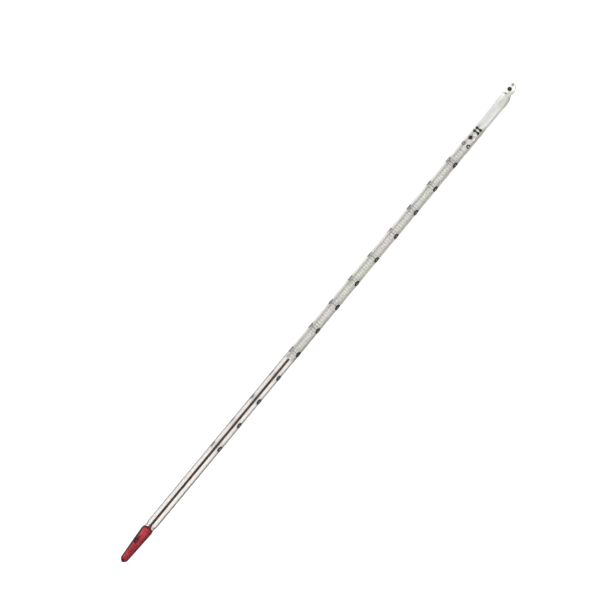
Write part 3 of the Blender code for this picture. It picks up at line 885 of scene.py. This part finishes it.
def strip_ring(at, half_width):
    """A section of the enamel, cupped towards the bore and thinned towards its edges."""
    depth = AXIS_Z - (STRIP_HIGH.z + STRIP_LOW.z) / 2
    half_thickness = (STRIP_HIGH.z - STRIP_LOW.z) / 2
    cup = STRIP_CUP_SHARE * (STRIP_HIGH.y - STRIP_LOW.y) / 2
    front = []
    back = []
    for step in range(-STRIP_HALF_STEPS, STRIP_HALF_STEPS + 1):
        share = step / STRIP_HALF_STEPS
        thin = half_thickness * round_off(share**2) + STRIP_RIM_HALF_THICKNESS
        middle = AXIS_Z - depth + cup * (share**2 - 0.5)
        front.append(Vector((TIP_X + at, AXIS_Y + share * half_width, middle + thin)))
        back.append(Vector((TIP_X + at, AXIS_Y + share * half_width, middle - thin)))
    return front + back[::-1]


def make_enamel():
    """A white ribbon along the back of the stem, narrowing to a rounded end."""
    full_half_width = (STRIP_HIGH.y - STRIP_LOW.y) / 2
    start_at, end_at = STRIP_LOW.x - TIP_X, STRIP_HIGH.x - TIP_X
    taper_at = end_at - STRIP_TAPER
    stations = spread(start_at, taper_at, STRIP_RINGS)
    for step in range(STRIP_TAPER_RINGS + 1):
        stations.append(taper_at + STRIP_TAPER * math.sin(math.pi / 2 * step / STRIP_TAPER_RINGS))
    rings = []
    for at in stations:
        share = mix(STRIP_END_SHARE, 1.0, round_off((at - taper_at) / STRIP_TAPER))
        rings.append(strip_ring(at, share * full_half_width))
    strip = add_mesh("enamel_backing", tube(rings), enamel_material())
    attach(strip, "thermometer")
    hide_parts("enamel_strip")


def make_charge():
    """The spirit that fills the bulb, up to the neck of its hollow."""
    rings = [cavity_ring(at, WETTING, GLASS_SIDES) for at in cavity_stations() + [CAVITY_NECK_AT]]
    tip = level_point(BULB_TIP_WALL - WETTING, bulb_y(0.0))
    charge = add_mesh("bulb_spirit", tube(rings, tip), spirit_material())
    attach(charge, "thermometer")
    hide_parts("spirit_charge")


def make_thread(material):
    """The thread from the bulb's neck to the head of the column, which stretches as the column rises."""
    joint_at = HEAD_LOW.x - TIP_X
    root = (CAVITY_NECK_AT - THREAD_ROOT, CAVITY_NECK_AT)
    rings = [cavity_ring(at, THREAD_ROOT_WETTING) for at in root]
    rings += [bore_ring(at, WETTING) for at in spread(BORE_FOOT_AT, joint_at, THREAD_RINGS) + [joint_at]]
    thread = add_mesh("bore_thread", tube(rings), material)
    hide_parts("spirit_thread")
    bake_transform(thread)


def make_head(material):
    """The head of the column, with a hollow meniscus."""
    joint_at, top_at = HEAD_LOW.x - TIP_X, HEAD_HIGH.x - TIP_X
    rings = [bore_ring(at, WETTING) for at in spread(joint_at, top_at, HEAD_RINGS) + [top_at]]
    for step in range(1, MENISCUS_RINGS):
        share = step / MENISCUS_RINGS
        sunk = MENISCUS_DEPTH * math.sin(math.pi / 2 * share)
        width = (BORE_HALF_WIDTH + WETTING) * (1.0 - share)
        depth = (BORE_HALF_DEPTH + WETTING) * (1.0 - share)
        rings.append(ring(top_at - sunk, BORE_Y, width, depth, BORE_SIDES))
    meniscus_foot = level_point(top_at - MENISCUS_DEPTH, BORE_Y)
    head = add_mesh("meniscus_head", tube(rings, high_tip=meniscus_foot), material)
    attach(head, "column")
    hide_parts("column_head")


# ---------------------------------------------------------------- scale


def on_stem(x, angle, radius):
    """A point on a cylinder round the stem, its angle counted from the scale towards -Y."""
    return Vector((x, AXIS_Y - radius * math.sin(angle), AXIS_Z + radius * math.cos(angle)))


def add_band(bm, x, width, middle_angle, half_angle):
    """Adds an ink bar that wraps part of the way round the stem."""
    inner = STEM_RADIUS + PRINT_LIFT
    outer = inner + PRINT_THICKNESS
    steps = max(FEWEST_BAND_STEPS, math.ceil(2 * half_angle / PRINT_STEP))
    low, high = x - width / 2, x + width / 2
    corners = ((low, inner), (high, inner), (high, outer), (low, outer))
    sections = []
    for step in range(steps + 1):
        angle = mix(middle_angle - half_angle, middle_angle + half_angle, step / steps)
        sections.append([on_stem(place, angle, radius) for place, radius in corners])
    made = skin(bm, sections)
    bm.faces.new(made[0])
    bm.faces.new(made[-1][::-1])


def flat_glyph(letter, height, swell):
    """The letter in swollen strokes: a flat solid of unit thickness about its middle, x across and y up."""
    curve = bpy.data.curves.new("glyph", "FONT")
    curve.body = letter
    curve.resolution_u = FONT_RESOLUTION
    curve.extrude = 0.5
    curve.offset = swell
    holder = bpy.data.objects.new("glyph", curve)
    bpy.context.scene.collection.objects.link(holder)
    bpy.context.view_layer.update()
    mesh = bpy.data.meshes.new_from_object(holder)
    bpy.data.objects.remove(holder)
    bpy.data.curves.remove(curve)
    bm = bmesh.new()
    bm.from_mesh(mesh)
    bpy.data.meshes.remove(mesh)
    lowest, highest = (Vector(map(pick, zip(*(vert.co for vert in bm.verts)))) for pick in (min, max))
    middle = (lowest + highest) / 2
    scale = height / (highest.y - lowest.y)
    for vert in bm.verts:
        vert.co.x = (vert.co.x - middle.x) * scale
        vert.co.y = (vert.co.y - middle.y) * scale
    bmesh.ops.remove_doubles(bm, verts=bm.verts, dist=PRINT_WELD)
    return bm


def flat_dot(diameter):
    """A round dot as a flat solid of unit thickness about its middle."""
    radius = diameter / 2
    bm = bmesh.new()
    bmesh.ops.create_cone(bm, cap_ends=True, segments=DOT_SIDES, radius1=radius, radius2=radius, depth=1.0)
    return bm


def wrap_print(bm, x, middle_angle):
    """Lays a flat solid of unit thickness on the stem as ink, upright when the bulb hangs down."""
    radius = STEM_RADIUS + PRINT_LIFT
    step = radius * PRINT_STEP
    cuts_each_side = int(max(abs(vert.co.x) for vert in bm.verts) / step)
    for index in range(-cuts_each_side, cuts_each_side + 1):
        bmesh.ops.bisect_plane(
            bm,
            geom=bm.verts[:] + bm.edges[:] + bm.faces[:],
            dist=PRINT_WELD,
            plane_co=(index * step, 0.0, 0.0),
            plane_no=(1.0, 0.0, 0.0),
        )
    bmesh.ops.triangulate(bm, faces=bm.faces)
    bmesh.ops.dissolve_degenerate(bm, edges=bm.edges, dist=PRINT_SLIVER)
    for vert in bm.verts:
        lift = PRINT_THICKNESS if vert.co.z > 0 else 0.0
        vert.co = on_stem(x + vert.co.y, middle_angle + vert.co.x / radius, radius + lift)


def print_place(node):
    """Middle, length along the stem, middle angle and half angle of a CAD node printed on the stem."""
    low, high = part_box(node)
    middle = (low + high) / 2
    across, up = middle.y - AXIS_Y, middle.z - AXIS_Z
    half_angle = math.asin(min(1.0, (high.y - low.y) / 2 / STEM_RADIUS))
    return middle.x, high.x - low.x, math.atan2(-across, up), half_angle


def letter_of(node):
    """The character that a numeral's or the unit's node stands for."""
    if node == "unit_degree_sign":
        return "o"
    if node == "unit_letter_c":
        return "C"
    words = node.replace("minus_", "").split("_")
    return f"{int(words[1]):02d}"[int(words[3]) - 1]


def band(x, width, middle_angle, half_angle):
    """One ink bar as a mesh of its own."""
    bm = bmesh.new()
    add_band(bm, x, width, middle_angle, half_angle)
    return bm


def dumbbell(x, middle_angle):
    """A bar of the index mark: a narrow waist across the stem, with a round dot near each end."""
    bm = band(x, BAR_WAIST_SHARE * BAR_WIDTH, middle_angle, BAR_HALF_ANGLE)
    for side in (-1, 1):
        end = flat_dot(BAR_END_SHARE * BAR_WIDTH)
        wrap_print(end, x, middle_angle + side * BAR_END_ANGLE)
        add_to(bm, end)
    return bm


def draw_mark(node):
    """The mesh of one printed mark of the CAD model, in a finer shape."""
    x, length, angle, half_angle = print_place(node)
    if node.startswith("line_"):
        width = WASHED_LINE_WIDTH if x < HEAD_HIGH.x else length
        return band(x, width, SCALE_TURN, min(half_angle, TEN_LINE_HALF_ANGLE))
    if node.startswith("index_bar"):
        return dumbbell(x, angle + BAR_TURN)
    if node.startswith("label_") and node.endswith("_sign"):
        low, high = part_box(node)
        return band(x, length, angle + SCALE_TURN, math.asin((high.z - low.z) / 2 / STEM_RADIUS))
    if node == "index_dot":
        bm = flat_dot(length * INDEX_DOT_SWELL)
        wrap_print(bm, x, angle + INDEX_DOT_TURN)
    elif node == "unit_degree_sign":
        bm = flat_glyph(letter_of(node), length * DEGREE_SIGN_SWELL, UNIT_STROKE_SWELL)
        wrap_print(bm, x - DEGREE_SIGN_DROP, angle)
    elif node == "unit_letter_c":
        bm = flat_glyph(letter_of(node), length * UNIT_LETTER_SHARE, UNIT_STROKE_SWELL)
        wrap_print(bm, x, angle + UNIT_LETTER_TURN)
    else:
        bm = flat_glyph(letter_of(node), length, STROKE_SWELL)
        wrap_print(bm, x, angle + SCALE_TURN)
    return bm


def ink_of(node, inks):
    """Left-hand figures and the degree sign have faded, and lines below the column's head are washed out."""
    x, _, angle, _ = print_place(node)
    if node == "unit_degree_sign" or node.startswith("label_") and angle < 0:
        return inks["faded_ink"]
    if node.startswith("line_") and x < HEAD_HIGH.x:
        return inks["washed_ink"]
    return inks["black_ink"]


def make_print(inks):
    """Every printed mark of the CAD model."""
    for node in sorted(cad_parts):
        if not node.startswith(("line_", "label_", "unit_", "index_")):
            continue
        bm = draw_mark(node)
        face_outwards(bm)
        piece = add_mesh(f"ink_{node}", bm, ink_of(node, inks))
        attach(piece, "thermometer")
        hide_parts(node)


def make_fine_lines(inks):
    """The one-degree lines between the tens, longer at each five, and washed out below the column's head."""
    zero_x, ten_x, lowest_x, top_x = (
        print_place(node)[0] for node in ("line_0", "line_10", "line_minus_20", "line_105_scale_end")
    )
    degree = (ten_x - zero_x) / DEGREES_BETWEEN_LABELS
    lowest, shown, top = (round((x - zero_x) / degree) for x in (lowest_x, HEAD_HIGH.x, top_x))
    lower = bmesh.new()
    upper = bmesh.new()
    for degrees in range(lowest + 1, top):
        if degrees % DEGREES_BETWEEN_LABELS == 0:
            continue
        longer = degrees % DEGREES_BETWEEN_LONG_LINES == 0
        half_angle = FIVE_LINE_HALF_ANGLE if longer else FINE_LINE_HALF_ANGLE
        bm, width = (upper, FINE_LINE_WIDTH) if degrees > shown else (lower, WASHED_LINE_WIDTH)
        add_band(bm, zero_x + degrees * degree, width, SCALE_TURN, half_angle)
    for name, bm, ink in (
        ("ink_degrees_lower", lower, inks["washed_ink"]),
        ("ink_degrees_upper", upper, inks["black_ink"]),
    ):
        face_outwards(bm)
        piece = add_mesh(name, bm, ink)
        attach(piece, "thermometer")


# ---------------------------------------------------------------- stage, light and camera


def make_floor():
    """A wide pale sheet that glows a little."""
    bm = bmesh.new()
    bmesh.ops.create_grid(bm, x_segments=1, y_segments=1, size=FLOOR_HALF_WIDTH)
    bmesh.ops.translate(bm, vec=(0.0, 0.0, -FLOOR_DROP), verts=bm.verts)
    material, tree, shader, _ = new_material("pale_floor")
    paint(tree, shader, blend_colours(tree, noise(tree, **FLOOR_NOISE), *FLOOR_GREYS), FLOOR_ROUGHNESS)
    give(tree, shader.inputs["Emission Color"], WHITE)
    give(tree, shader.inputs["Emission Strength"], FLOOR_GLOW)
    add_mesh("floor", bm, material)


def add_area(name, place, power):
    """A soft square lamp that faces the thermometer."""
    lamp = bpy.data.lights.new(name, "AREA")
    lamp.size = LAMP_SIZE
    lamp.energy = power
    obj = bpy.data.objects.new(name, lamp)
    obj.location = place
    obj.rotation_euler = (-Vector(place)).to_track_quat("-Z", "Y").to_euler()
    bpy.context.scene.collection.objects.link(obj)


def make_light():
    """A white sky that is brighter overhead, and the lamps."""
    world = bpy.data.worlds.new("studio")
    world.use_nodes = True
    tree = world.node_tree
    background = tree.nodes["Background"]
    coordinates = tree.nodes.new("ShaderNodeTexCoord")
    split = tree.nodes.new("ShaderNodeSeparateXYZ")
    tree.links.new(coordinates.outputs["Generated"], split.inputs[0])
    give(tree, background.inputs["Color"], WHITE)
    give(tree, background.inputs["Strength"], remap(tree, split.outputs["Z"], SKY_CLIMB, SKY_STRENGTHS))
    bpy.context.scene.world = world
    for name, place, power in LAMPS:
        add_area(name, place, power)


def make_camera():
    data = bpy.data.cameras.new("camera")
    data.lens = LENS
    data.sensor_width = SENSOR
    data.clip_start, data.clip_end = CLIP_DISTANCES
    camera = bpy.data.objects.new("camera", data)
    camera.location = (*VIEW_CENTRE, AXIS_Z + VIEW_WIDTH * LENS / SENSOR)
    camera.rotation_euler = (0.0, 0.0, VIEW_ROLL)
    bpy.context.scene.collection.objects.link(camera)
    bpy.context.scene.camera = camera
    bpy.context.scene.view_settings.view_transform = "Standard"


def make_scene():
    make_camera()
    make_light()
    make_floor()
    make_glass()
    make_enamel()
    make_charge()
    spirit = thread_material()
    make_thread(spirit)
    make_head(spirit)
    inks = {name: ink_material(name, *colours) for name, colours in INK_COLOURS.items()}
    make_print(inks)
    make_fine_lines(inks)


make_scene()
